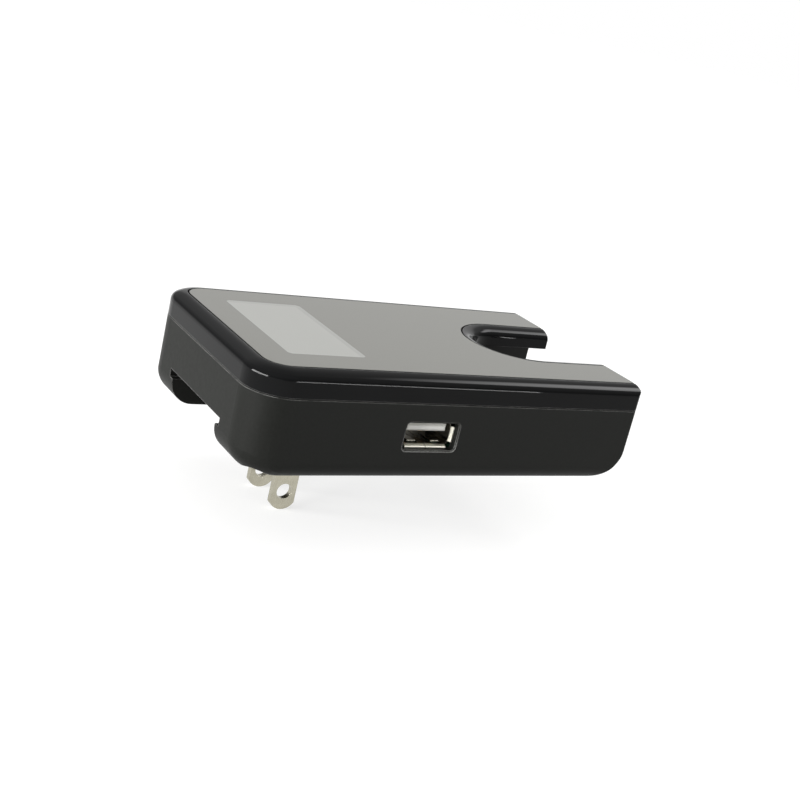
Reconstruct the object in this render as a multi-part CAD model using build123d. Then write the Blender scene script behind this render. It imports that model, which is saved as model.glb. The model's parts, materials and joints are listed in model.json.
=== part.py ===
from build123d import *
from math import atan2, degrees
import os

# Plug-in camera battery charger with a display, a USB socket and a fold-out mains plug.
# Sizes are in millimetres. The origin lies on the wall face, midway between the blades.
# +X runs along the body to the mouth of the battery bay, +Y away from the USB side,
# +Z from the wall out to the display panel.

# Body
body_length = 105.0
body_width = 61.4
body_height = 25.2
cover_height = 5.9  # seam to the top
plug_setback = 24.5  # plug end of the body to the blades
corner_radius = 9.6  # plan corners at the plug end
end_corner_radius = 1.2  # plan corners at the bay end
foot_radius = 4.2  # along the two sides
end_foot_radius = 6.0  # at the plug end
bay_foot_radius = 11.0  # at the bay end
wall = 2.0
seam_chamfer = 0.3
lip_thickness = 0.9
lip_height = 1.1
lip_gap = 0.1

# Cover, panel and display window
bezel_width = 4.1
bezel_drop = 2.4
bezel_radius = 1.7  # where the bezel leaves the side wall
panel_thickness = 1.6
panel_gap = 0.45
deck_thickness = 2.0
window_length = 19.8
window_width = 36.8
window_setback = 11.9
window_corner = 0.8

# Thumb notch and battery bay
notch_width = 20.8
notch_depth = 29.2
bay_width = 35.0
bay_floor = 4.0
arm_thickness = 3.0
electronics_length = 63.0  # plug end of the body to the back of the bay

# Folding plug
blade_pitch = 12.7
blade_width = 6.35
blade_thickness = 1.5
blade_reach = 18.2
blade_tip_radius = 3.7
blade_hole = 3.9
blade_hole_to_tip = 4.7
blade_root = 2.6  # beyond the pivot axis, inside the carrier
pivot_height = 4.2
carrier_radius = 3.8
carrier_flat = 3.5
carrier_sink = 0.2
carrier_gap = 0.3
carrier_end_gap = 0.4
pin_radius = 2.0
pin_fit = 0.05
recess_width = 26.8
recess_wall = 1.8
rail_depth = 1.9
rail_height = 2.0
rail_stop = 8.0  # end of the rails, ahead of the pivot
contact_sheet = 0.4
contact_margin = 0.8
contact_lift = 0.3
contact_rise = 3.0
contact_foot = 4.0
detent_sheet = 0.3
detent_width = 9.0

# USB socket
usb_setback = 45.7
usb_axis_height = 11.15
usb_width = 13.1
usb_height = 5.7
usb_depth = 14.0
usb_sheet = 0.35
usb_corner = 0.6
usb_inset = 1.6
usb_lip_length = 1.0
usb_lip_flare = 0.4
usb_lip_corner = 1.0  # bare corner of the shell beside each lip
usb_slit = 0.2  # where the sheet's two edges meet
usb_clearance = 0.5
usb_opening_corner = 0.9
usb_opening_chamfer = 0.3
tongue_width = 11.1
tongue_thickness = 1.84
tongue_drop = 0.45
tongue_length = 8.8
tongue_inset = 1.3
tongue_chamfer = 0.5
usb_pin_width = 1.0
usb_pin_thickness = 0.2
usb_pin_setback = 0.9
usb_pin_places = (-3.5, -1.0, 1.0, 3.5)
finger_width = 2.2
finger_length = 5.0
finger_spacing = 6.4
finger_slot = 0.4
finger_setback = 1.5
finger_rise = 0.5

# Display and its board
glass_thickness = 1.8
glass_overlap = 1.2
glass_clearance = 0.2
backlight_thickness = 2.0
display_board_thickness = 1.0
display_board_start = 3.0
post_half = 2.0
post_margin = 0.8
post_spacing = 4.0  # edge of the window to the posts
header_offset = 2.2
header_count = 5
header_pitch = 2.0
header_pin = 0.6
header_strip_height = 2.0
header_strip_width = 2.2

# Main board and its parts
board_thickness = 1.6
board_gap = 0.5
support_half = 2.2
support_inset = 3.2
part_space = 0.8  # bare board between neighbouring parts
part_offset = 6.0  # plug end of the board to the first parts
part_edge = 3.0  # far edge of the board to the rectifier
transformer_offset = 6.6
transformer_length = 10.0
transformer_width = 13.0
transformer_height = 10.5
transformer_leg = 2.6
winding_bulge = 1.2
mains_capacitor_radius = 4.0
mains_capacitor_length = 12.0
output_capacitor_length = 4.0
output_capacitor_width = 7.0
output_capacitor_height = 3.0
suppressor_length = 4.0
suppressor_width = 6.0
suppressor_height = 7.5
fuse_width = 3.2
fuse_length = 9.0
fuse_height = 2.8
rectifier_size = 4.6
rectifier_height = 2.4
chip_length = 4.9
chip_width = 3.9
chip_height = 1.4

# Battery contacts
contact_count = 4
contact_pitch = 4.0
contact_width = 1.8
contact_strip = 0.4
contact_nose = 1.0
contact_leg = 1.6
contact_reach = 2.8
contact_slot_gap = 0.3
contact_height = 10.8
block_depth = 3.2
block_height = 6.0
block_margin = 1.5

# Screws at the plug end, hooks at the bay end
screw_setback = 6.6
screw_side = 5.9
screw_radius = 1.3
screw_fit = 0.1
screw_head_radius = 2.6
screw_head_height = 1.8
screw_length = 9.0
screw_tip_room = 0.5
well_radius = 3.6
well_floor = 2.0
boss_wall = 1.5
boss_height = 10.0
small_screw_radius = 0.9
small_screw_head_radius = 1.7
small_screw_head_height = 1.2
small_screw_length = 2.4
hook_setback = 16.0
hook_width = 6.0
hook_thickness = 1.5
hook_reach = 6.0  # below the seam
hook_barb = 0.7
hook_gap = 0.2

# Places that several pieces share
left = -plug_setback
right = left + body_length
half_width = body_width / 2
corner_x = left + corner_radius
corner_y = half_width - corner_radius
seam_height = body_height - cover_height
deck_top = body_height - panel_thickness
deck_bottom = deck_top - deck_thickness
bay_ceiling = deck_top - arm_thickness
bay_back = left + electronics_length
back_wall = bay_back - wall
bay_side = bay_width / 2 + wall
notch_middle = right - notch_depth + notch_width / 2
recess_ceiling = pivot_height + carrier_radius + carrier_gap
recess_back = carrier_radius + carrier_gap + detent_sheet
recess_side = recess_width / 2 + rail_depth + recess_wall
recess_end = recess_back + recess_wall
blade_face = blade_pitch / 2 + blade_thickness / 2
window_left = left + window_setback
window_right = window_left + window_length
board_top = usb_axis_height - usb_height / 2
board_bottom = board_top - board_thickness
board_left = recess_end + board_gap
board_right = back_wall - board_gap
board_half = half_width - wall - 2 * board_gap
usb_x = left + usb_setback
usb_front = -half_width + usb_inset
usb_rear = usb_front + usb_depth
usb_roof = board_top + usb_height - usb_sheet
tongue_front = usb_front + tongue_inset
tongue_rear = tongue_front + tongue_length
tongue_bottom = usb_roof - tongue_drop - tongue_thickness
glass_bottom = deck_top - glass_thickness
backlight_bottom = glass_bottom - backlight_thickness
display_board_bottom = backlight_bottom - display_board_thickness
header_x = board_left + header_offset
display_board_left = window_left + display_board_start
display_board_right = header_x + header_strip_width
post_y = window_width / 2 + post_spacing
post_reach = post_half + post_margin
contact_y = [(i - (contact_count - 1) / 2) * contact_pitch for i in range(contact_count)]
well_top = boss_height - well_floor
hook_x = right - hook_setback
hook_foot = seam_height - hook_reach
hook_face = half_width - wall - hook_gap
beyond = 20.0  # overshoot of cuts that leave the body
outside = 1.0  # overshoot of cuts along the edges


def block(x0, x1, y0, y1, z0, z1):
    """Box between two corners."""
    box = Box(x1 - x0, y1 - y0, z1 - z0)
    return Pos((x0 + x1) / 2, (y0 + y1) / 2, (z0 + z1) / 2) * box


def rod(x, y, z0, z1, radius):
    """Upright round bar."""
    return Pos(x, y, (z0 + z1) / 2) * Cylinder(radius, z1 - z0)


def tower(x, y, z0, z1, half):
    """Upright square bar."""
    return block(x - half, x + half, y - half, y + half, z0, z1)


def crossbar(x, z, y0, y1, radius):
    """Round bar across the body."""
    return Pos(x, (y0 + y1) / 2, z) * Rot(90, 0, 0) * Cylinder(radius, y1 - y0)


def side_plate(sketch, y0, y1):
    """Sketch with X across and Z up, made into a plate from y0 to y1."""
    return extrude(Plane.XZ.offset(-y0) * sketch, amount=y1 - y0, dir=(0, 1, 0))


def at_each(places, make):
    """One solid for each place, kept apart in one piece."""
    return Compound(children=[make(x, y) for x, y in places])


def screw_places():
    """Housing screws, one in each corner of the plug end."""
    return [(left + screw_setback, side * (half_width - screw_side)) for side in (-1, 1)]


def post_places():
    """Posts under the cover for the display board, whose other end is on the header."""
    return [(display_board_left + post_reach, side * post_y) for side in (-1, 1)]


def support_places():
    """Posts of the lower housing under the corners of the main board."""
    ends = (board_left + support_inset, board_right - support_inset)
    return [(x, side * (board_half - support_inset)) for side in (-1, 1) for x in ends]


def display_screw_places():
    """The display board is screwed to its far post."""
    return post_places()[-1:]


def board_screw_places():
    """The main board is screwed to its far post by the bay."""
    return support_places()[-1:]


def plan(inset, end_inset, end_radius=0.0):
    """Outline of the body seen from above, drawn in from its edge."""
    length = body_length - inset - end_inset
    outline = Pos(left + inset + length / 2, 0) * Rectangle(length, body_width - 2 * inset)
    outline = fillet(outline.vertices().sort_by(Axis.X)[:2], corner_radius - inset)
    if end_radius:
        outline = fillet(outline.vertices().sort_by(Axis.X)[-2:], end_radius)
    return outline


def bay_strip():
    """Plan of the bay with its cheeks, out past the end of the body."""
    length = right + beyond - back_wall
    return Pos(back_wall + length / 2, 0) * Rectangle(length, 2 * bay_side)


def lip_strips(thickness):
    """Corners in plan of the lip on the two sides and the plug end, or of the room for it."""
    inner = half_width - wall
    outer = inner + thickness
    sides = [sorted((side * inner, side * outer)) for side in (-1, 1)]
    strips = [(corner_x, right - wall, *ends) for ends in sides]
    return strips + [(left + wall - thickness, left + wall, -corner_y, corner_y)]


def edge_section(profile, up, x, y, z, inward):
    """What a rounded edge leaves off a square one, standing at a point of the wall."""
    start = profile @ 0
    end = profile @ 1
    rest = Polyline(end, (end.X, up * outside), (-outside, up * outside), (-outside, start.Y), start)
    upright = Vector(inward).cross(Vector(0, 0, 1))
    return Plane((x, y, z), x_dir=inward, z_dir=upright) * make_face(profile + rest)


def run(section, x, y):
    """Rounded edge along a straight wall."""
    way = Vector(x, y, 0)
    return extrude(section, amount=way.length, dir=way.normalized())


def foot_section(radius, x, y, inward):
    return edge_section(CenterArc((radius, radius), radius, 180, 90), -1, x, y, 0, inward)


def foot_cuts():
    """Foot of the far side and the plug end, easing from one radius to the other at the corner."""
    along = foot_section(foot_radius, corner_x, half_width, (0, -1, 0))
    end = foot_section(end_foot_radius, left, corner_y, (1, 0, 0))
    turn = CenterArc((corner_x, corner_y), corner_radius, 180, -90)
    corner = sweep([end, along], path=turn, multisection=True)
    return [run(end, 0, -2 * corner_y), run(along, right + beyond - corner_x, 0), corner]


def end_rounding(inset, plug_end_radius=0.0):
    """Long slab with its foot rounded at the bay end, and at the plug end where a radius is given."""
    span = body_length - 2 * inset
    slab = Pos(left + inset + span / 2, inset + body_height / 2) * Rectangle(span, body_height)
    slab = fillet(slab.vertices().sort_by(Axis.Y)[:2].sort_by(Axis.X)[-1:], bay_foot_radius - inset)
    if plug_end_radius:
        slab = fillet(slab.vertices().group_by(Axis.Y)[0].sort_by(Axis.X)[:1], plug_end_radius)
    return side_plate(slab, -body_width, body_width)


def outer_body():
    """Body below the seam, its foot rounded all the way round: the far half and its mirror image."""
    body = extrude(plan(0, 0, end_corner_radius), amount=seam_height)
    body = chamfer(body.faces().sort_by(Axis.Z)[-1].edges(), seam_chamfer)
    half = body & block(left - beyond, right + beyond, 0, body_width, 0, body_height)
    for cut in foot_cuts():
        half -= cut
    half &= end_rounding(0)
    return half + mirror(half, about=Plane.XZ)


def inner_room():
    """Room inside the body, up to the seam."""
    return extrude(plan(wall, wall), amount=seam_height) & end_rounding(wall, end_foot_radius - wall)


def thumb_notch(grow):
    """U outline of the thumb notch, open at the bay end."""
    radius = notch_width / 2 + grow
    length = right + beyond - notch_middle
    mouth = Pos(notch_middle + length / 2, 0) * Rectangle(length, 2 * radius)
    return mouth + Pos(notch_middle, 0) * Circle(radius)


def bezel_profile():
    """Rounded edge of the cover: a tight arc off the wall that eases into a wide one."""
    rise = bezel_drop - bezel_radius
    wide = (bezel_width**2 + bezel_drop**2 - 2 * bezel_width * bezel_radius) / (2 * rise)
    turn = degrees(atan2(wide - bezel_drop, bezel_width - bezel_radius))
    tight = JernArc((0, -bezel_drop), (0, 1), bezel_radius, -turn)
    return tight + JernArc(tight @ 1, tight % 1, wide, turn - 90)


def bezel_section(x, y, inward):
    return edge_section(bezel_profile(), 1, x, y, body_height, inward)


def bezel_cuts():
    """Bezel along the two sides, round the plug end and round the thumb notch."""
    notch = notch_width / 2
    notch_axis = Axis((notch_middle, 0, 0), (0, 0, 1))
    cuts = [run(bezel_section(left, -corner_y, (1, 0, 0)), 0, 2 * corner_y)]
    cuts.append(revolve(bezel_section(notch_middle, notch, (0, 1, 0)), notch_axis, 180))
    for side in (-1, 1):
        along = bezel_section(corner_x, side * half_width, (0, -side, 0))
        corner_axis = Axis((corner_x, side * corner_y, 0), (0, 0, side))
        cuts.append(run(along, right + beyond - corner_x, 0))
        cuts.append(revolve(along, corner_axis, 90))
        arm = bezel_section(notch_middle, side * notch, (0, side, 0))
        cuts.append(run(arm, right + beyond - notch_middle, 0))
    return cuts


def hook(side):
    """Snap hook under the cover, with a barb that catches in the side wall."""
    outline = Polygon(
        (hook_face - hook_thickness, hook_foot),
        (hook_face, hook_foot),
        (hook_face + hook_barb, hook_foot + hook_thickness),
        (hook_face, hook_foot + hook_thickness),
        (hook_face, deck_bottom),
        (hook_face - hook_thickness, deck_bottom),
        align=None,
    )
    start = hook_x - hook_width / 2
    piece = extrude(Plane((start, 0, 0), x_dir=(0, 1, 0), z_dir=(1, 0, 0)) * outline, amount=hook_width)
    return piece if side > 0 else mirror(piece, about=Plane.XZ)


def hook_pocket(side):
    """Room for the barb in the side wall."""
    half = hook_width / 2 + hook_gap
    ends = sorted((side * hook_face, side * (hook_face + hook_barb + hook_gap)))
    top = hook_foot + hook_thickness + hook_gap
    return block(hook_x - half, hook_x + half, *ends, hook_foot, top)


def make_lower_housing():
    body = outer_body()
    # inner walls of the bay and the plug recess, screw wells and board posts
    inner = block(back_wall, right, -bay_side, bay_side, 0, seam_height)
    inner += block(left, recess_end, -recess_side, recess_side, 0, recess_ceiling + recess_wall)
    for x, y in screw_places():
        inner += tower(x, y, 0, boss_height, well_radius + boss_wall)
    for x, y in support_places():
        inner += tower(x, y, 0, board_bottom, support_half)
    housing = (body - inner_room()) + (inner & body)
    # lip along the straight walls, which the cover drops over
    for x0, x1, y0, y1 in lip_strips(lip_thickness):
        housing += block(x0, x1, y0, y1, seam_height, seam_height + lip_height)
    # battery bay, with slots for the contacts in its back wall
    half_bay = bay_width / 2
    housing -= block(bay_back, right + beyond, -half_bay, half_bay, bay_floor, body_height)
    tall = contact_leg + contact_strip + contact_slot_gap
    wide = contact_width / 2 + contact_slot_gap
    for y in contact_y:
        low = contact_height - tall
        housing -= block(back_wall - wall, bay_back + wall, y - wide, y + wide, low, low + 2 * tall)
    # plug recess with its two rails and the bearings of the pivot pins
    half = recess_width / 2
    rail = half + rail_depth
    housing -= block(left - beyond, recess_back, -half, half, -beyond, recess_ceiling)
    rail_foot = recess_ceiling - rail_height
    housing -= block(left - beyond, -rail_stop, -rail, rail, rail_foot, recess_ceiling)
    housing -= crossbar(0, pivot_height, -recess_side, recess_side, pin_radius + pin_fit)
    # screw wells and pilot holes
    for x, y in screw_places():
        housing -= rod(x, y, -wall, well_top, well_radius)
        housing -= rod(x, y, 0, boss_height + wall, screw_radius + screw_fit)
    for x, y in board_screw_places():
        depth = small_screw_length + screw_tip_room
        housing -= rod(x, y, board_bottom - depth, board_top, small_screw_radius + screw_fit)
    for side in (-1, 1):
        housing -= hook_pocket(side)
    # USB opening with a broken edge
    room = 2 * usb_clearance
    opening = RectangleRounded(usb_width + room, usb_height + room, usb_opening_corner)
    opening = Pos(usb_x, usb_axis_height) * opening
    housing -= side_plate(opening, -half_width - wall, usb_front + 2 * wall)
    near_face = housing.faces().sort_by(Axis.Y)[0]
    return chamfer(near_face.inner_wires().edges(), usb_opening_chamfer)


def make_top_cover():
    cover = extrude(Pos(0, 0, seam_height) * plan(0, 0, end_corner_radius), amount=cover_height)
    cover -= extrude(thumb_notch(0), amount=body_height + beyond)
    for cut in bezel_cuts():
        cover -= cut
    # seat of the panel
    seat = bezel_width - panel_gap
    pocket = plan(seat, -beyond) - thumb_notch(seat)
    cover -= extrude(Pos(0, 0, deck_top) * pocket, amount=body_height)
    # hollow over the boards and beside the bay, with room for the lip of the lower housing
    inside = plan(wall, wall) - bay_strip()
    cover -= extrude(Pos(0, 0, seam_height) * inside, amount=deck_bottom - seam_height)
    for x0, x1, y0, y1 in lip_strips(lip_thickness + lip_gap):
        cover -= block(x0, x1, y0, y1, seam_height, seam_height + lip_height + lip_gap)
    half_bay = bay_width / 2
    cover -= block(bay_back, right + beyond, -half_bay, half_bay, 0, bay_ceiling)
    # opening of the display, screw bosses, hooks and display posts
    reach = glass_overlap + glass_clearance
    half = window_width / 2 + reach
    cover -= block(window_left - reach, window_right + reach, -half, half, deck_bottom, body_height)
    room = extrude(plan(wall + hook_gap, wall), amount=deck_bottom)
    for x, y in screw_places():
        cover += tower(x, y, boss_height, deck_bottom, screw_radius + boss_wall) & room
        depth = screw_length - well_floor + screw_tip_room
        cover -= rod(x, y, boss_height, boss_height + depth, screw_radius + screw_fit)
    for side in (-1, 1):
        cover += hook(side)
    for x, y in post_places():
        cover += tower(x, y, backlight_bottom, deck_bottom, post_half)
    for x, y in display_screw_places():
        depth = small_screw_length + screw_tip_room
        cover -= rod(x, y, backlight_bottom, backlight_bottom + depth, small_screw_radius + screw_fit)
    return cover


def window_outline():
    outline = Rectangle(window_length, window_width)
    outline = chamfer(outline.vertices(), window_corner)
    return Pos(window_left + window_length / 2, 0, deck_top) * outline


def make_top_panel():
    outline = plan(bezel_width, 0) - thumb_notch(bezel_width)
    panel = extrude(Pos(0, 0, deck_top) * outline, amount=panel_thickness)
    return panel - extrude(window_outline(), amount=panel_thickness)


def make_display_glass():
    half = window_width / 2 + glass_overlap
    ends = (window_left - glass_overlap, window_right + glass_overlap)
    return block(*ends, -half, half, glass_bottom, deck_top)


def make_backlight():
    half = window_width / 2
    return block(window_left, window_right, -half, half, backlight_bottom, glass_bottom)


def make_display_board():
    half = post_y + post_reach
    ends = (display_board_left, display_board_right)
    board = block(*ends, -half, half, display_board_bottom, backlight_bottom)
    for x, y in display_screw_places():
        board -= rod(x, y, display_board_bottom, backlight_bottom, small_screw_radius + screw_fit)
    return board


def screw(x, y, seat, up, length, radius, head):
    """Screw through a seat, with its head under it, or over it where up is -1."""
    foot, top = sorted((seat, seat + up * length))
    return Pos(x, y, seat) * head + rod(x, y, foot, top, radius)


def make_housing_screws():
    head = extrude(Circle(screw_head_radius), amount=-screw_head_height)
    return at_each(screw_places(), lambda x, y: screw(x, y, well_top, 1, screw_length, screw_radius, head))


def small_screws(places, seat, up, through):
    """Hexagon-head screws that hold the boards."""
    head = extrude(RegularPolygon(small_screw_head_radius, 6), amount=-up * small_screw_head_height)
    length = small_screw_length + through
    return at_each(places, lambda x, y: screw(x, y, seat, up, length, small_screw_radius, head))


def make_display_screws():
    return small_screws(display_screw_places(), display_board_bottom, 1, display_board_thickness)


def make_board_screws():
    return small_screws(board_screw_places(), board_top, -1, board_thickness)


def blade_profile():
    """Plug blade seen from the side: a strip with a rounded tip and a hole."""
    tip = -blade_reach
    top = pivot_height + blade_root
    strip = Pos(0, (tip + top) / 2) * Rectangle(blade_width, top - tip)
    nose = Pos(0, tip + blade_tip_radius) * Circle(blade_tip_radius)
    upper = tip + blade_tip_radius
    nose += Pos(0, (upper + top) / 2) * Rectangle(blade_width, top - upper)
    return (strip & nose) - Pos(0, tip + blade_hole_to_tip) * Circle(blade_hole / 2)


def make_blade(side):
    y = side * blade_pitch / 2
    return side_plate(blade_profile(), y - blade_thickness / 2, y + blade_thickness / 2)


def make_pivot_pins():
    pins = [crossbar(0, pivot_height, blade_face, recess_side, pin_radius)]
    pins.append(crossbar(0, pivot_height, -recess_side, -blade_face, pin_radius))
    return Compound(children=pins)


def make_plug_carrier():
    """Barrel with a square nose towards the wall and two flats for the detent spring."""
    drop = pivot_height - carrier_sink
    section = Circle(carrier_radius) + Pos(0, -drop / 2) * Rectangle(2 * carrier_radius, drop)
    span = carrier_flat + drop
    section &= Pos(carrier_flat - span, carrier_flat - span) * Rectangle(2 * span, 2 * span)
    half = recess_width / 2 - carrier_end_gap
    carrier = side_plate(Pos(0, pivot_height) * section, -half, half)
    for side in (-1, 1):
        carrier -= make_blade(side)
        ends = sorted((side * blade_face, side * recess_side))
        carrier -= crossbar(0, pivot_height, *ends, pin_radius)
    return carrier


def make_mains_contact(side):
    """Flat spring from the end of a pivot pin to the main board."""
    half = pin_radius + contact_margin
    low = wall + contact_lift
    high = board_top + contact_rise
    pad = Pos(0, (low + high) / 2) * Rectangle(2 * half, high - low)
    reach = board_left + contact_foot + half
    arm = Pos(reach / 2 - half, (board_top + high) / 2) * Rectangle(reach, high - board_top)
    ends = sorted((side * recess_side, side * (recess_side + contact_sheet)))
    return side_plate(pad + arm, *ends)


def make_detent_spring():
    half = detent_width / 2
    ends = (recess_back - detent_sheet, recess_back)
    return block(*ends, -half, half, carrier_sink, recess_ceiling)


def make_main_board():
    board = block(board_left, board_right, -board_half, board_half, board_bottom, board_top)
    for x, y in board_screw_places():
        board -= rod(x, y, board_bottom, board_top, small_screw_radius + screw_fit)
    return board


def make_header_strip():
    half = header_count * header_pitch / 2
    ends = (header_x - header_strip_width / 2, header_x + header_strip_width / 2)
    return block(*ends, -half, half, board_top, board_top + header_strip_height) - make_header_pins()


def make_header_pins():
    half = header_pin / 2
    pins = []
    for i in range(header_count):
        y = (i - (header_count - 1) / 2) * header_pitch
        ends = (header_x - half, header_x + half, y - half, y + half)
        pins.append(block(*ends, board_top, display_board_bottom))
    return Compound(children=pins)


def usb_room():
    return Rectangle(usb_width - 2 * usb_sheet, usb_height - 2 * usb_sheet)


def usb_lip(outward, reach, half):
    """Flared lip at the front of one side of the shell, which lies at reach from the axis."""
    rear = usb_front + usb_lip_length
    outline = Polygon(
        (rear, reach),
        (rear, reach - usb_sheet),
        (usb_front, reach - usb_sheet + usb_lip_flare),
        (usb_front, reach + usb_lip_flare),
        align=None,
    )
    along = Vector(0, 1, 0).cross(Vector(outward))
    start = Vector(usb_x, 0, usb_axis_height) - along * half
    section = Plane(start, x_dir=(0, 1, 0), z_dir=along) * outline
    return extrude(section, amount=2 * half, dir=along)


def make_usb_shell():
    section = RectangleRounded(usb_width, usb_height, usb_corner) - usb_room()
    shell = side_plate(Pos(usb_x, usb_axis_height) * section, usb_front + usb_lip_length, usb_rear)
    half_wide = usb_width / 2
    half_tall = usb_height / 2
    for side in (-1, 1):
        shell += usb_lip((0, 0, side), half_tall, half_wide - usb_lip_corner)
        shell += usb_lip((side, 0, 0), half_wide, half_tall - usb_lip_corner)
    slit = (usb_x - usb_slit / 2, usb_x + usb_slit / 2, usb_front, usb_rear)
    shell -= block(*slit, board_top - usb_lip_flare, board_top + usb_sheet)
    front = usb_front + finger_setback
    rear = front + finger_length
    for side in (-1, 1):
        x = usb_x + side * finger_spacing / 2
        half = finger_width / 2 + finger_slot
        shell -= block(x - half, x + half, front - finger_slot, rear, board_top, board_top + usb_sheet)
        top = board_top + usb_sheet
        strip = Polygon(
            (rear, board_top),
            (rear, top),
            (front, top + finger_rise),
            (front, board_top + finger_rise),
            align=None,
        )
        strip = Plane((x - finger_width / 2, 0, 0), x_dir=(0, 1, 0), z_dir=(1, 0, 0)) * strip
        shell += extrude(strip, amount=finger_width, dir=(1, 0, 0))
    return shell


def make_usb_tongue():
    half = tongue_width / 2
    top = tongue_bottom + tongue_thickness
    tongue = block(usb_x - half, usb_x + half, tongue_front, usb_rear, tongue_bottom, top)
    tongue = chamfer(tongue.faces().sort_by(Axis.Y)[0].edges(), tongue_chamfer)
    return tongue + side_plate(Pos(usb_x, usb_axis_height) * usb_room(), tongue_rear, usb_rear)


def make_usb_contacts():
    half = usb_pin_width / 2
    front = tongue_front + usb_pin_setback
    low = tongue_bottom - usb_pin_thickness
    strips = []
    for place in usb_pin_places:
        x = usb_x + place
        strips.append(block(x - half, x + half, front, tongue_rear, low, tongue_bottom))
    return Compound(children=strips)


def contact_profile():
    """Battery contact seen from the side: a sprung nose on two legs."""
    tail = back_wall - block_depth / 2
    low = contact_height - contact_leg
    high = contact_height + contact_leg
    nose = bay_back + contact_reach
    points = [(tail, low), (back_wall, low), (nose, contact_height - contact_nose / 2)]
    points += [(nose, contact_height + contact_nose / 2), (back_wall, high), (tail, high)]
    return trace(Polyline(*points), contact_strip)


def make_battery_contacts():
    half = contact_width / 2
    return Compound(children=[side_plate(contact_profile(), y - half, y + half) for y in contact_y])


def make_contact_block():
    half = contact_y[-1] + contact_width / 2 + block_margin
    top = board_top + block_height
    piece = block(back_wall - block_depth, back_wall, -half, half, board_top, top)
    wide = contact_width / 2 + contact_slot_gap
    tall = contact_leg + contact_strip
    for y in contact_y:
        low = contact_height - tall
        slot = (y - wide, y + wide, low, low + 2 * tall)
        piece -= block(back_wall - block_depth / 2, back_wall, *slot)
    return piece


transformer_left = board_left + transformer_offset
transformer_right = transformer_left + transformer_length
transformer_top = board_top + transformer_height
part_left = board_left + part_offset
chip_y = board_half - part_edge - rectifier_size / 2
fuse_y = chip_y - rectifier_size / 2 - part_space - fuse_width / 2
capacitor_y = fuse_y - fuse_width / 2 - part_space - mains_capacitor_radius
transformer_middle = capacitor_y - mains_capacitor_radius - part_space - winding_bulge
transformer_middle -= transformer_width / 2


def transformer_window():
    """Room inside the core, to either side of its middle leg."""
    low = board_top + transformer_leg
    high = transformer_top - transformer_leg
    half = transformer_width / 2
    rows = []
    for side in (-1, 1):
        ends = sorted((side * transformer_leg / 2, side * (half - transformer_leg)))
        y0, y1 = (transformer_middle + end for end in ends)
        rows.append(block(transformer_left, transformer_right, y0, y1, low, high))
    return rows


def make_transformer_core():
    half = transformer_width / 2
    ends = (transformer_middle - half, transformer_middle + half)
    core = block(transformer_left, transformer_right, *ends, board_top, transformer_top)
    for room in transformer_window():
        core -= room
    return core


def make_transformer_winding():
    """Winding round the middle leg, bulging out of the core at both ends."""
    low = board_top + transformer_leg
    high = transformer_top - transformer_leg
    half = transformer_width / 2 - transformer_leg
    ends = (transformer_left - winding_bulge, transformer_right + winding_bulge)
    coil = block(*ends, transformer_middle - half, transformer_middle + half, low, high)
    leg = transformer_leg / 2
    inner = (transformer_middle - leg, transformer_middle + leg)
    return coil - block(transformer_left, transformer_right, *inner, low, high)


def make_mains_capacitor():
    axis = Pos(part_left + mains_capacitor_length / 2, capacitor_y, board_top + mains_capacitor_radius)
    return axis * Rot(0, 90, 0) * Cylinder(mains_capacitor_radius, mains_capacitor_length)


def make_output_capacitors():
    near = header_count * header_pitch / 2 + part_space
    half = output_capacitor_length / 2
    top = board_top + output_capacitor_height
    chips = []
    for side in (-1, 1):
        ends = sorted((side * near, side * (near + output_capacitor_width)))
        chips.append(block(header_x - half, header_x + half, *ends, board_top, top))
    return Compound(children=chips)


def make_suppression_capacitor():
    """Box beside the contact that brings the mains in on the near side."""
    x = board_left + part_space
    y = -recess_side - contact_sheet - part_space
    top = board_top + suppressor_height
    return block(x, x + suppressor_length, y - suppressor_width, y, board_top, top)


def make_fuse():
    half = fuse_width / 2
    ends = (part_left, part_left + fuse_length, fuse_y - half, fuse_y + half)
    return block(*ends, board_top, board_top + fuse_height)


def make_rectifier():
    half = rectifier_size / 2
    ends = (part_left, part_left + rectifier_size, chip_y - half, chip_y + half)
    return block(*ends, board_top, board_top + rectifier_height)


def make_controller_chip():
    x = part_left + rectifier_size + part_space
    half = chip_width / 2
    return block(x, x + chip_length, chip_y - half, chip_y + half, board_top, board_top + chip_height)


pieces = {
    "lower_housing": make_lower_housing(),
    "top_cover": make_top_cover(),
    "top_panel": make_top_panel(),
    "display_window": extrude(window_outline(), amount=panel_thickness),
    "display_glass": make_display_glass(),
    "display_backlight": make_backlight(),
    "display_board": make_display_board(),
    "display_screws": make_display_screws(),
    "housing_screws": make_housing_screws(),
    "blade_near": make_blade(-1),
    "blade_far": make_blade(1),
    "plug_carrier": make_plug_carrier(),
    "pivot_pins": make_pivot_pins(),
    "mains_contact_near": make_mains_contact(-1),
    "mains_contact_far": make_mains_contact(1),
    "detent_spring": make_detent_spring(),
    "main_board": make_main_board(),
    "board_screws": make_board_screws(),
    "header_strip": make_header_strip(),
    "header_pins": make_header_pins(),
    "usb_shell": make_usb_shell(),
    "usb_tongue": make_usb_tongue(),
    "usb_contacts": make_usb_contacts(),
    "contact_block": make_contact_block(),
    "battery_contacts": make_battery_contacts(),
    "transformer_core": make_transformer_core(),
    "transformer_winding": make_transformer_winding(),
    "mains_capacitor": make_mains_capacitor(),
    "output_capacitors": make_output_capacitors(),
    "suppression_capacitor": make_suppression_capacitor(),
    "fuse": make_fuse(),
    "rectifier": make_rectifier(),
    "controller_chip": make_controller_chip(),
}

os.makedirs("parts", exist_ok=True)
for name, piece in pieces.items():
    export_step(piece, "parts/" + name + ".step")
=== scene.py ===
import json
import math

import bpy
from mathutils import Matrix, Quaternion, Vector


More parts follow.
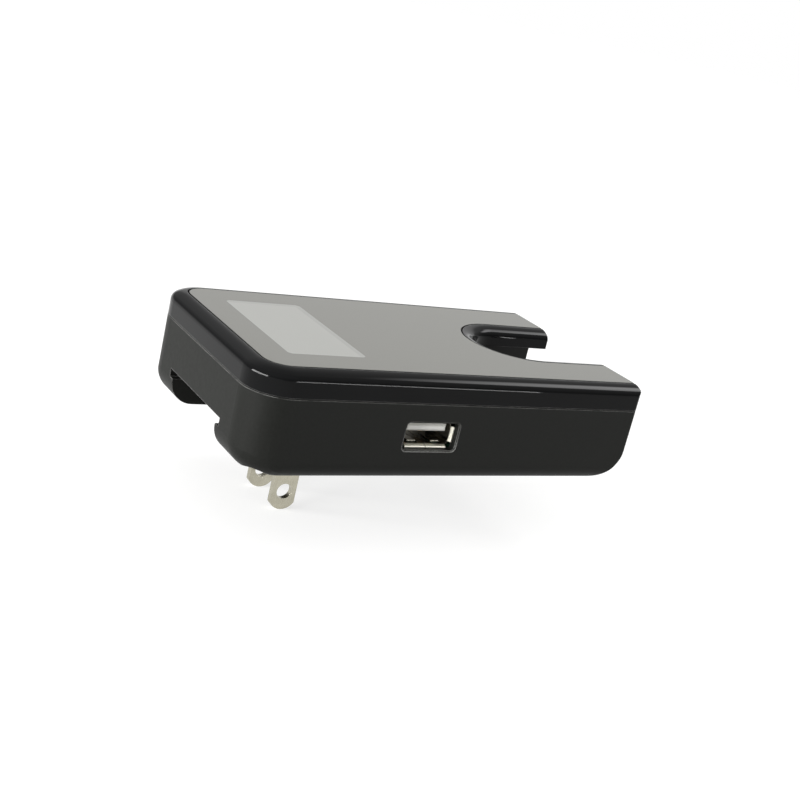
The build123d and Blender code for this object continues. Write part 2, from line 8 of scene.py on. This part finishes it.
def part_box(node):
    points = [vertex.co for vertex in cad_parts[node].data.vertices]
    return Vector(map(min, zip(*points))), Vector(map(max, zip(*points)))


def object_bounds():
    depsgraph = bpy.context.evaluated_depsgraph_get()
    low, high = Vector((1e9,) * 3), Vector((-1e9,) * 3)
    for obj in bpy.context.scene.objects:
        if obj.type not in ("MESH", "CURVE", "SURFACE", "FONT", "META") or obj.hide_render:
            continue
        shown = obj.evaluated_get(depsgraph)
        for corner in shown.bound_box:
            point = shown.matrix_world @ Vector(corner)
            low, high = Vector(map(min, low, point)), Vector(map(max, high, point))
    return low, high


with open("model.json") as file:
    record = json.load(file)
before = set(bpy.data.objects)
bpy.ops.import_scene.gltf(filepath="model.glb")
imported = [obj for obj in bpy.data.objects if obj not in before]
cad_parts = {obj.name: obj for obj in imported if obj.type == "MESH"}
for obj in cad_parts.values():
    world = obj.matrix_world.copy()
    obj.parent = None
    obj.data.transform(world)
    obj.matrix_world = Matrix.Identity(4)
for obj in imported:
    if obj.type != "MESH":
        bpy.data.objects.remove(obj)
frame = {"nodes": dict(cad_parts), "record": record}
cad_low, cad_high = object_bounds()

# Looks of a plug-in camera battery charger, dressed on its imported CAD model.

MM = 0.001

# Edges are found by how far a softened normal leans from its face: cosines where a mark starts and is full.
EDGE_SAMPLES = 4
WEAR_AND_HIGHLIGHT_COSINES = (0.99, 0.85)
RIM_COSINES = (0.97, 0.92)

# Marks on the finishes, in millimetres
WEAR_AND_HIGHLIGHT_PATCH = 2.6  # stretches of an edge that are rubbed and carry the painted edge highlight, or not
SCRATCH_PATCH = 7.0  # parts of a face that are scratched or not
SCRATCH_WIDTH = 0.10
PANEL_BORDER = 0.40  # black rim of the plate's face, painted shade of the gap round it
CUT_EDGE = 0.06  # depth below the face at which the plate turns black, painted shade of the gap round it
WINDOW_MARGIN = 1.2  # painted shadow of the display's recess along the window's far and right sides
WINDOW_FADE = 0.5  # over which it turns into the pale ground
RIM_WIDTH = 0.34  # rim of the USB opening, painted pale as a highlight along its lower edge
RIM_REACH = 2.0  # from the socket's shell out past that rim
RIM_DEPTH = 0.4  # and from the wall's face inwards
RUBBED_MOUTH = 0.5  # pale lip of the socket's shell, rubbed and with a painted highlight; past it the inside is painted dark as shade

# Levels of noise, from 0 to 1, where a mark starts and is full
SCRATCH_LEVELS = (0.62, 0.68)
SCRATCHED_LEVELS = (0.45, 0.62)

RUBBED_GAIN = 1.12  # how much brighter a metal is along its edges
TRACK_STRETCH = (1, 2, 40)  # tracks keep their course through the thickness of a board
TRACK_TOP = 0.7  # share of a track's width that is flat; its sides slope
LAP_WANDER = 0.6  # how far laps of tape stray from straight
WAVE_RATE = 20  # radians per unit of length of the Wave node at a scale of 1

# The Mix node's colour sockets, whose names its other types share
MIX_COLOUR_A = 6
MIX_COLOUR_B = 7
MIX_COLOUR_RESULT = 2

# The studio is in metres, and white paper lit at a level of 1 renders white.
FLOOR_GAP = 0.05 * MM  # the blade tips stand just clear of the floor
FLOOR_HALF = 4.0
FLOOR_COLOUR = (0.40, 0.40, 0.396)
FLOOR_GLOW = 0.67  # what a camera or mirror sees of the floor besides the light that falls on it
WHITE = (1, 1, 1)
ROOM_LOW = 0.20  # level of the room at the horizon
ROOM_HIGH = 0.80  # and overhead
ROOM_TOP = 0.8  # height, on a sphere of 1, from which the room is at its overhead level
SKYLINE = 0.16  # height on that sphere up to which a mirror sees the white background
# Soft light fields in the room: direction, angle of full strength, angle where it ends, level
BACKDROP = ((0.58, 0.80, 0.17), 15, 26, 0.52)
RIGHT_SOFTBOX = ((0.68, 0.15, 0.72), 4, 13, 7.0)
# Lamps: the level is that of white paper square to the lamp, where it aims
LAMP_AIM = Vector((0.02, 0.0, 0.01))
KEY = {"place": Vector((-2.00, -0.20, 0.31)), "width": 1.8, "height": 0.60, "level": 3.0}
FRONT_STRIP = {"place": Vector((0.86, -1.78, 0.10)), "width": 0.90, "height": 0.13, "level": 0.40}

CAMERA_PLACE = Vector((-0.14777, -0.26621, 0.11029))
CAMERA_AIM = Vector((0.0275, -0.00517, 0.01016))
CAMERA_ROLL = 13.6  # degrees
CAMERA_LENS = 60.52  # focal length in millimetres on the default sensor
CAMERA_NEAREST = 0.01


def fresh_tree(owner):
    """The empty node tree of a material or world."""
    owner.use_nodes = True
    tree = owner.node_tree
    tree.nodes.clear()
    return tree


def add(tree, kind, **values):
    """A shader node, with its properties set by name."""
    node = tree.nodes.new(kind)
    for name, value in values.items():
        setattr(node, name, value)
    return node


def feed(tree, socket, value):
    """Sets a socket to a number or colour, or links it to another socket."""
    if isinstance(value, bpy.types.NodeSocket):
        tree.links.new(value, socket)
    elif isinstance(value, tuple) and socket.type == "RGBA":
        socket.default_value = (*value, 1.0)
    else:
        socket.default_value = value


def sums(tree, operation, a, b=0.0, clamp=False):
    """The result of one sum on two numbers or sockets."""
    node = add(tree, "ShaderNodeMath", operation=operation, use_clamp=clamp)
    feed(tree, node.inputs[0], a)
    feed(tree, node.inputs[1], b)
    return node.outputs[0]


def spread(tree, value, low, high, start=0.0, end=1.0, smooth=False):
    """A value moved from the range low..high to start..end, and held within it."""
    node = add(tree, "ShaderNodeMapRange", interpolation_type="SMOOTHSTEP" if smooth else "LINEAR")
    for name, number in (("From Min", low), ("From Max", high), ("To Min", start), ("To Max", end)):
        feed(tree, node.inputs[name], number)
    feed(tree, node.inputs["Value"], value)
    return node.outputs["Result"]


def blend_colours(tree, share, first, second):
    """The first colour where the share is 0 and the second where it is 1."""
    node = add(tree, "ShaderNodeMix", data_type="RGBA")
    feed(tree, node.inputs["Factor"], share)
    feed(tree, node.inputs[MIX_COLOUR_A], first)
    feed(tree, node.inputs[MIX_COLOUR_B], second)
    return node.outputs[MIX_COLOUR_RESULT]


def dot(tree, a, b):
    """Cosine between two directions."""
    node = add(tree, "ShaderNodeVectorMath", operation="DOT_PRODUCT")
    feed(tree, node.inputs[0], a)
    feed(tree, node.inputs[1], b)
    return node.outputs["Value"]


def is_colour(value):
    """True for a colour, and for a socket that carries one."""
    if isinstance(value, bpy.types.NodeSocket):
        return value.type == "RGBA"
    return isinstance(value, tuple)


class Finish:
    """A material with one Principled shader, and patterns in millimetres of the part's own frame."""

    def __init__(self, name, edge=0.0, **sockets):
        """Edges are softened over a radius of edge; sockets are the shader's, with _ for a space."""
        self.material = bpy.data.materials.new(name)
        self.tree = fresh_tree(self.material)
        self.shader = add(self.tree, "ShaderNodeBsdfPrincipled")
        output = add(self.tree, "ShaderNodeOutputMaterial")
        feed(self.tree, output.inputs["Surface"], self.shader.outputs[0])
        self.place = add(self.tree, "ShaderNodeTexCoord").outputs["Object"]
        self.soft_normal = None
        if edge:
            self.soft_normal = self.softened(edge)
            self.set("Normal", self.soft_normal)
        for socket, value in sockets.items():
            self.set(socket.replace("_", " "), value)

    def set(self, socket, value):
        """Gives one of the shader's sockets a value or a link."""
        feed(self.tree, self.shader.inputs[socket], value)

    def between(self, share, low, high):
        """Two numbers or two colours, mixed by a share from 0 to 1."""
        if is_colour(low) or is_colour(high):
            return blend_colours(self.tree, share, low, high)
        return spread(self.tree, share, 0.0, 1.0, low, high)

    def vary(self, socket, share, low, high):
        """Drives a socket between two numbers or two colours by a share from 0 to 1."""
        self.set(socket, self.between(share, low, high))

    def both(self, *shares):
        """1 where every share is 1, else less."""
        product = shares[0]
        for share in shares[1:]:
            product = sums(self.tree, "MULTIPLY", product, share)
        return product

    def softened(self, radius):
        """Normals with the edges rounded over a radius."""
        node = add(self.tree, "ShaderNodeBevel", samples=EDGE_SAMPLES)
        feed(self.tree, node.inputs["Radius"], radius * MM)
        return node.outputs["Normal"]

    def edges(self, soft_normal, cosines):
        """1 where softened normals lean far from their face, else 0."""
        face_normal = add(self.tree, "ShaderNodeNewGeometry").outputs["Normal"]
        return spread(self.tree, dot(self.tree, soft_normal, face_normal), *cosines)

    def worn_and_highlit_edges(self, start, full):
        """1 on patches of the softened edges, else 0, where edges are rubbed pale and carry a painted
        highlight; start and full are levels of noise.
        """
        patches = spread(self.tree, self.noise(WEAR_AND_HIGHLIGHT_PATCH), start, full)
        return self.both(self.edges(self.soft_normal, WEAR_AND_HIGHLIGHT_COSINES), patches)

    def axes(self):
        """The separate coordinates of a point, in metres: outputs X, Y and Z."""
        split = add(self.tree, "ShaderNodeSeparateXYZ")
        feed(self.tree, split.inputs[0], self.place)
        return split.outputs

    def face(self, node):
        """1 on the upper face of a plate, 0 on its cut edges and its back."""
        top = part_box(node)[1].z
        return spread(self.tree, self.axes()["Z"], top - CUT_EDGE * MM, top - 0.5 * CUT_EDGE * MM)

    def within(self, node, margin, plane):
        """1 inside a node's box in a plane such as XY, widened by a margin, else 0."""
        low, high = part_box(node)
        place = self.axes()
        inside = []
        for axis in plane:
            along = "XYZ".index(axis)
            offset = sums(self.tree, "SUBTRACT", place[axis], (low[along] + high[along]) / 2)
            reach = (high[along] - low[along]) / 2 + margin * MM
            inside.append(sums(self.tree, "LESS_THAN", sums(self.tree, "ABSOLUTE", offset), reach))
        return self.both(*inside)

    def stretched(self, stretch):
        """Texture coordinates that draw a pattern out by a factor along each axis."""
        moved = add(self.tree, "ShaderNodeMapping")
        feed(self.tree, moved.inputs["Vector"], self.place)
        moved.inputs["Scale"].default_value = [1.0 / factor for factor in stretch]
        return moved.outputs[0]

    def noise(self, size, detail=2.0, stretch=(1, 1, 1)):
        """Noise from 0 to 1 whose features have a size, drawn out by stretch along each axis."""
        node = add(self.tree, "ShaderNodeTexNoise")
        feed(self.tree, node.inputs["Vector"], self.stretched(stretch))
        feed(self.tree, node.inputs["Scale"], 1.0 / (size * MM))
        feed(self.tree, node.inputs["Detail"], detail)
        return node.outputs["Fac"]

    def scratches(self, stretch):
        """Thin marks drawn out along one axis: 1 on a mark, else 0."""
        marks = spread(self.tree, self.noise(SCRATCH_WIDTH, 1.0, stretch), *SCRATCH_LEVELS)
        patches = spread(self.tree, self.noise(SCRATCH_PATCH), *SCRATCHED_LEVELS)
        return self.both(marks, patches)

    def laps(self, pitch, axis):
        """Laps of a wound tape along an axis, each rising from 0 to 1."""
        node = add(self.tree, "ShaderNodeTexWave", bands_direction=axis, wave_profile="SAW")
        feed(self.tree, node.inputs["Vector"], self.place)
        feed(self.tree, node.inputs["Scale"], 2 * math.pi / (WAVE_RATE * pitch * MM))
        feed(self.tree, node.inputs["Distortion"], LAP_WANDER)
        return node.outputs["Fac"]

    def tracks(self, pitch, width):
        """Conductor tracks under the resist of a board: 1 on a track, else 0; width is a share of pitch."""
        node = add(self.tree, "ShaderNodeTexVoronoi", distance="MANHATTAN", feature="DISTANCE_TO_EDGE")
        feed(self.tree, node.inputs["Vector"], self.stretched(TRACK_STRETCH))
        feed(self.tree, node.inputs["Scale"], 1.0 / (pitch * MM))
        return spread(self.tree, node.outputs["Distance"], width, width * TRACK_TOP)

    def bump(self, height, depth, strength):
        """Relief of a depth, from a height between 0 and 1."""
        node = add(self.tree, "ShaderNodeBump")
        feed(self.tree, node.inputs["Height"], height)
        feed(self.tree, node.inputs["Distance"], depth * MM)
        feed(self.tree, node.inputs["Strength"], strength)
        if self.soft_normal:
            feed(self.tree, node.inputs["Normal"], self.soft_normal)
        self.set("Normal", node.outputs["Normal"])


def usb_rim_painted_highlight(f):
    """1 on the lower edge of the USB opening, fading upwards, else 0: a painted highlight where that edge
    catches light.
    """
    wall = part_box("lower_housing")[0].y
    low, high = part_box("usb_shell")
    place = f.axes()
    outside = spread(f.tree, place["Y"], wall + RIM_DEPTH * MM, wall + 0.5 * RIM_DEPTH * MM)
    lower = spread(f.tree, place["Z"], high.z, low.z)
    around = f.within("usb_shell", RIM_REACH, "XZ")
    return f.both(f.edges(f.softened(RIM_WIDTH), RIM_COSINES), around, outside, lower)


def matt_black():
    """Moulded case plastic with a fine spark-eroded grain, rubbed smooth along its edges, whose pale colour
    there is partly rubbing and partly a painted highlight; the lower rim of its USB opening has a painted
    highlight.
    """
    f = Finish("matt_black_moulding", edge=0.25, Specular_IOR_Level=0.075)
    tone = f.between(f.noise(0.6), (0.0055, 0.0058, 0.0051), (0.0087, 0.0090, 0.0081))
    wear_and_highlight = f.worn_and_highlit_edges(start=0.18, full=0.52)
    # Pale edges: partly rubbed plastic, partly a painted highlight along every edge.
    worn_and_highlit_colour = f.between(wear_and_highlight, tone, (0.200, 0.200, 0.192))
    # The lower rim of the USB opening is painted pale as a painted highlight.
    f.vary("Base Color", usb_rim_painted_highlight(f), worn_and_highlit_colour, (0.280, 0.280, 0.268))
    f.vary("Roughness", wear_and_highlight, f.between(f.noise(1.1), 0.40, 0.50), 0.15)
    f.bump(f.noise(0.20, detail=3.0), depth=0.010, strength=0.25)
    return f.material


def gloss_black():
    """Piano-black moulding: a polished tool's faint waviness, hairline scratches, haze, and pale edges that
    are partly rubbing and partly a painted highlight.
    """
    f = Finish("gloss_black_moulding", edge=0.22, Specular_IOR_Level=0.10)
    tone = f.between(f.noise(14.0), (0.0020, 0.0021, 0.0022), (0.0034, 0.0035, 0.0037))
    # The pale edge colour is partly rubbing and partly a painted highlight.
    f.vary("Base Color", f.worn_and_highlit_edges(start=0.20, full=0.50), tone, (0.130, 0.130, 0.126))
    haze = f.between(f.noise(2.5), 0.015, 0.040)
    f.vary("Roughness", f.scratches(stretch=(40, 1, 1)), haze, 0.12)
    f.bump(f.noise(5.0, detail=1.0), depth=0.003, strength=0.3)
    return f.material


def panel_grey():
    """Printed plate under a clear gloss face: print grain, scratches and haze, with its cut edges and a
    thin rim of its face painted black as painted shade of the gap round it.
    """
    f = Finish("panel_grey_print", Specular_IOR_Level=0.45)
    ground = f.between(f.noise(0.30, detail=3.0), (0.136, 0.135, 0.116), (0.160, 0.159, 0.139))
    rim = f.edges(f.softened(PANEL_BORDER), RIM_COSINES)
    gap_shade_border = f.between(f.within("display_window", WINDOW_MARGIN, "XY"), rim, 0.0)
    printed = sums(f.tree, "SUBTRACT", f.face("top_panel"), gap_shade_border, clamp=True)
    # Black on the cut edges and the rim is painted shade of the gap between plate and bezel.
    f.vary("Base Color", printed, (0.005, 0.005, 0.005), ground)
    haze = f.between(f.noise(3.0), 0.07, 0.12)
    f.vary("Roughness", f.scratches(stretch=(1, 30, 1)), haze, 0.20)
    f.bump(f.noise(8.0, detail=1.0), depth=0.003, strength=0.2)
    return f.material


def window_grey():
    """Display window: the pale ground of the unlit display, with a painted shadow of its recess along its
    far and right margins.
    """
    f = Finish("display_window_face", Specular_IOR_Level=0.45)
    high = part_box("display_window")[1]
    place = f.axes()
    shown = []
    for axis, side in (("X", high.x), ("Y", high.y)):
        end = side - WINDOW_MARGIN * MM
        shown.append(spread(f.tree, place[axis], end, end - WINDOW_FADE * MM, smooth=True))
    ground = f.between(f.noise(0.25), (0.310, 0.313, 0.290), (0.336, 0.339, 0.316))
    # The darker margins are a painted shadow of the recess frame.
    f.vary("Base Color", f.both(*shown), (0.288, 0.291, 0.270), ground)
    haze = f.between(f.noise(3.0), 0.06, 0.10)
    f.vary("Roughness", f.scratches(stretch=(1, 30, 1)), haze, 0.18)
    f.bump(f.noise(8.0, detail=1.0), depth=0.002, strength=0.2)
    return f.material


def plain_plastic(name, dark, light, rough=0.5, grain=0.3, uneven=0.08):
    """Moulded plastic with a fine grain and small differences of colour."""
    f = Finish(name, edge=0.1)
    f.vary("Base Color", f.noise(1.2, detail=3.0), dark, light)
    f.vary("Roughness", f.noise(0.8), rough - uneven, rough + uneven)
    f.bump(f.noise(grain), depth=0.008, strength=0.3)
    return f.material


def metal(name, dark, light, rough=0.25, grain=0.12, stretch=(1, 1, 1), uneven=0.10):
    """Plated metal with fine drawn marks along its length, dulled in patches and bright at its edges."""
    f = Finish(name, edge=0.12, Metallic=1.0)
    plate = f.between(f.noise(1.6, detail=3.0), dark, light)
    rubbed = tuple(min(1.0, RUBBED_GAIN * part) for part in light)
    f.vary("Base Color", f.worn_and_highlit_edges(start=0.35, full=0.65), plate, rubbed)
    marks = f.noise(grain, 3.0, stretch)
    f.vary("Roughness", marks, rough - uneven, rough + uneven)
    f.bump(marks, depth=0.004, strength=0.3)
    return f.material


def socket_sheet():
    """Nickel-plated sheet of the USB socket: a pale lip at its mouth, rubbed and carrying a painted
    highlight, and dark inside as painted shade of the socket's depth.
    """
    f = Finish("nickel_sheet", edge=0.12, Metallic=1.0)
    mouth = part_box("usb_shell")[0].y
    lip_end = mouth + RUBBED_MOUTH * MM
    inside = spread(f.tree, f.axes()["Y"], lip_end, lip_end + RUBBED_MOUTH * MM, smooth=True)
    patches = f.noise(1.6, detail=3.0)
    bright = f.between(patches, (0.80, 0.78, 0.68), (0.93, 0.91, 0.81))
    painted_shade_inside_colour = f.between(patches, (0.17, 0.16, 0.135), (0.27, 0.26, 0.22))
    # Pale lip: partly rubbed plating, partly a painted highlight; dark inside: painted shade deep in the
    # socket.
    f.vary("Base Color", inside, bright, painted_shade_inside_colour)
    marks = f.noise(0.1, detail=3.0, stretch=(12, 1, 1))
    f.vary("Roughness", inside, 0.42, f.between(marks, 0.10, 0.30))
    f.bump(marks, depth=0.004, strength=0.3)
    return f.material


def circuit_board():
    """Glass-fibre board under green solder resist, with the tracks standing out a little."""
    f = Finish("solder_resist", edge=0.1)
    tracks = f.tracks(pitch=3.2, width=0.11)
    ground = f.between(f.noise(0.5), (0.004, 0.022, 0.010), (0.006, 0.030, 0.014))
    f.vary("Base Color", tracks, ground, (0.012, 0.055, 0.027))
    f.vary("Roughness", f.noise(0.4), 0.28, 0.40)
    f.bump(tracks, depth=0.03, strength=0.5)
    return f.material


def winding_tape():
    """Yellow film tape, lapped round the winding."""
    f = Finish("winding_tape", edge=0.1)
    laps = f.laps(pitch=0.9, axis="Y")
    f.vary("Base Color", laps, (0.60, 0.44, 0.07), (0.80, 0.63, 0.14))
    f.vary("Roughness", f.noise(0.6), 0.20, 0.36)
    f.bump(laps, depth=0.03, strength=0.4)
    return f.material


def make_finishes():
    """A material for each of the record's material slots."""
    return {
        "matt_black": matt_black(),
        "gloss_black": gloss_black(),
        "panel_grey": panel_grey(),
        "window_grey": window_grey(),
        "display_glass": plain_plastic("display_glass_face", (0.34, 0.35, 0.32), (0.42, 0.43, 0.40), 0.2),
        "white_plastic": plain_plastic("white_diffuser", (0.76, 0.76, 0.74), (0.84, 0.84, 0.82)),
        "board_green": circuit_board(),
        "steel": metal("zinc_steel", (0.46, 0.46, 0.46), (0.62, 0.62, 0.60), 0.32),
        "spring_bronze": metal("spring_bronze", (0.58, 0.37, 0.20), (0.76, 0.50, 0.28), 0.28),
        "black_plastic": plain_plastic("black_nylon", (0.016, 0.016, 0.016), (0.030, 0.030, 0.030), 0.45),
        "gold": metal("gold_flash", (0.68, 0.44, 0.18), (0.86, 0.61, 0.29), 0.22),
        "bright_steel": socket_sheet(),
        "pale_plastic": plain_plastic("pale_nylon", (0.46, 0.46, 0.44), (0.545, 0.545, 0.52), 0.4),
        "ferrite": plain_plastic("ferrite", (0.040, 0.040, 0.045), (0.070, 0.070, 0.075), 0.6, 0.5),
        "tape_yellow": winding_tape(),
        "capacitor_sleeve": plain_plastic(
            "capacitor_sleeve", (0.010, 0.012, 0.028), (0.022, 0.027, 0.052), 0.3
        ),
        "box_blue": plain_plastic("capacitor_box", (0.035, 0.13, 0.37), (0.065, 0.20, 0.50), 0.35),
        "tantalum_box": plain_plastic("tantalum_box", (0.62, 0.39, 0.07), (0.77, 0.53, 0.13), 0.4),
        "fuse_brown": plain_plastic("fuse_box", (0.15, 0.065, 0.030), (0.23, 0.105, 0.048), 0.4),
        "nickel": metal(
            "nickel_plate", (0.36, 0.34, 0.27), (0.49, 0.47, 0.385), 0.26, grain=0.16, stretch=(1, 1, 14)
        ),
    }


def dress():
    """Gives every CAD node the finish of its material slot."""
    finishes = make_finishes()
    for part in frame["record"]["subparts"]:
        slots = frame["nodes"][part["node"]].data.materials
        slots.clear()
        slots.append(finishes[part["material_slot"]])


def camera_or_mirror(tree):
    """1 for rays from the camera, a mirror or a clear surface, else 0."""
    path = add(tree, "ShaderNodeLightPath")
    mirrored = sums(tree, "MAXIMUM", path.outputs["Is Glossy Ray"], path.outputs["Is Transmission Ray"])
    return sums(tree, "MAXIMUM", path.outputs["Is Camera Ray"], mirrored)


def floor_paper():
    """White paper to the camera and to mirrors, clear from below."""
    paper = bpy.data.materials.new("floor_paper")
    paper.cycles.emission_sampling = "NONE"
    tree = fresh_tree(paper)
    diffuse = add(tree, "ShaderNodeBsdfDiffuse")
    feed(tree, diffuse.inputs["Color"], FLOOR_COLOUR)
    glow = add(tree, "ShaderNodeEmission")
    feed(tree, glow.inputs["Color"], WHITE)
    feed(tree, glow.inputs["Strength"], sums(tree, "MULTIPLY", camera_or_mirror(tree), FLOOR_GLOW))
    lit = add(tree, "ShaderNodeAddShader")
    feed(tree, lit.inputs[0], diffuse.outputs[0])
    feed(tree, lit.inputs[1], glow.outputs[0])
    one_sided = add(tree, "ShaderNodeMixShader")
    feed(tree, one_sided.inputs[0], add(tree, "ShaderNodeNewGeometry").outputs["Backfacing"])
    feed(tree, one_sided.inputs[1], lit.outputs[0])
    feed(tree, one_sided.inputs[2], add(tree, "ShaderNodeBsdfTransparent").outputs[0])
    output = add(tree, "ShaderNodeOutputMaterial")
    feed(tree, output.inputs["Surface"], one_sided.outputs[0])
    return paper


def make_floor():
    """A square of paper just under the blade tips."""
    half = FLOOR_HALF
    z = cad_low.z - FLOOR_GAP
    corners = [(-half, -half, z), (half, -half, z), (half, half, z), (-half, half, z)]
    mesh = bpy.data.meshes.new("floor")
    mesh.from_pydata(corners, [], [(0, 1, 2, 3)])
    mesh.materials.append(floor_paper())
    floor = bpy.data.objects.new("floor", mesh)
    bpy.context.scene.collection.objects.link(floor)


def light_field(tree, way, axis, full, end, level):
    """Light from round an axis, fading out between two angles in degrees."""
    near = dot(tree, way, Vector(axis).normalized())
    edge = math.cos(math.radians(end))
    core = math.cos(math.radians(full))
    return spread(tree, near, edge, core, 0.0, level, smooth=True)


def make_world():
    """White to the camera and low down in mirrors, over a dim room with a pale backdrop and a softbox."""
    world = bpy.data.worlds.new("studio")
    bpy.context.scene.world = world
    tree = fresh_tree(world)
    way = add(tree, "ShaderNodeTexCoord").outputs["Generated"]
    split = add(tree, "ShaderNodeSeparateXYZ")
    feed(tree, split.inputs[0], way)
    height = split.outputs["Z"]
    room = spread(tree, height, 0.0, ROOM_TOP, ROOM_LOW, ROOM_HIGH, smooth=True)
    for field in (BACKDROP, RIGHT_SOFTBOX):
        room = sums(tree, "ADD", room, light_field(tree, way, *field))
    low_down = spread(tree, height, SKYLINE, 0.5 * SKYLINE, smooth=True)
    mirrored = sums(tree, "MULTIPLY", camera_or_mirror(tree), low_down)
    seen = add(tree, "ShaderNodeLightPath").outputs["Is Camera Ray"]
    strength = add(tree, "ShaderNodeMix", data_type="FLOAT")
    feed(tree, strength.inputs["Factor"], sums(tree, "MAXIMUM", seen, mirrored))
    feed(tree, strength.inputs["A"], room)
    feed(tree, strength.inputs["B"], 1.0)
    sky = add(tree, "ShaderNodeBackground")
    feed(tree, sky.inputs["Color"], WHITE)
    feed(tree, sky.inputs["Strength"], strength.outputs["Result"])
    output = add(tree, "ShaderNodeOutputWorld")
    feed(tree, output.inputs["Surface"], sky.outputs[0])


def make_lamp(name, place, width, height, level):
    """A softbox whose light on a white face square to it, at the aim, renders at a level."""
    lamp = bpy.data.lights.new(name, "AREA")
    lamp.shape = "RECTANGLE"
    lamp.size = width
    lamp.size_y = height
    away = place - LAMP_AIM
    lamp.energy = level * math.pi ** 2 * away.length_squared
    softbox = bpy.data.objects.new(name, lamp)
    softbox.location = place
    softbox.rotation_mode = "QUATERNION"
    softbox.rotation_quaternion = away.to_track_quat("Z", "Y")
    bpy.context.scene.collection.objects.link(softbox)


def make_camera():
    """The photograph's view, with the camera rolled about its own axis."""
    data = bpy.data.cameras.new("camera")
    data.lens = CAMERA_LENS
    data.clip_start = CAMERA_NEAREST
    camera = bpy.data.objects.new("camera", data)
    camera.location = CAMERA_PLACE
    camera.rotation_mode = "QUATERNION"
    level = (CAMERA_AIM - CAMERA_PLACE).to_track_quat("-Z", "Y")
    camera.rotation_quaternion = level @ Quaternion((0, 0, 1), math.radians(CAMERA_ROLL))
    bpy.context.scene.collection.objects.link(camera)
    bpy.context.scene.camera = camera


dress()
make_floor()
make_world()
make_lamp("key", **KEY)
make_lamp("front_strip", **FRONT_STRIP)
make_camera()
bpy.context.scene.view_settings.view_transform = "Standard"
